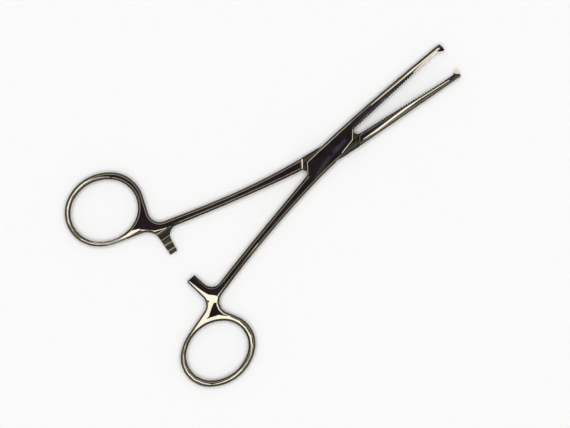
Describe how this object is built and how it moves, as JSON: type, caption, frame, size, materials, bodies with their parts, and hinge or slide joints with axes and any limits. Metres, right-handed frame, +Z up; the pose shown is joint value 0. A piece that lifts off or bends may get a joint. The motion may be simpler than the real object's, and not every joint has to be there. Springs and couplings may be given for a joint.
{
  "type": "toothed artery forceps",
  "caption": "Straight box-lock artery forceps with cross-grooved jaws, interlocking tip teeth, finger rings and a ratchet, hinged at the lock.",
  "frame": {"origin": "on the hinge axis, at the box lock's bottom face", "axes": "+X along the closed instrument's axis towards the jaw tips, +Y towards the box half's jaw, +Z up along the hinge pin"},
  "size_m": [0.1572, 0.0965, 0.0048],
  "materials": {
    "polished_steel": "mirror-polished stainless instrument steel"
  },
  "bodies": {
    "box_body": {"box_half": "polished_steel", "hinge_pin": "polished_steel"},
    "tongue_body": {"tongue_half": "polished_steel"}
  },
  "joints": [
    {"name": "box_lock", "type": "hinge", "parent": "box_body", "child": "tongue_body", "pos_m": [0, 0, 0.0024], "axis": [0, 0, -1], "range_deg": [-10.8, 34]}
  ]
}
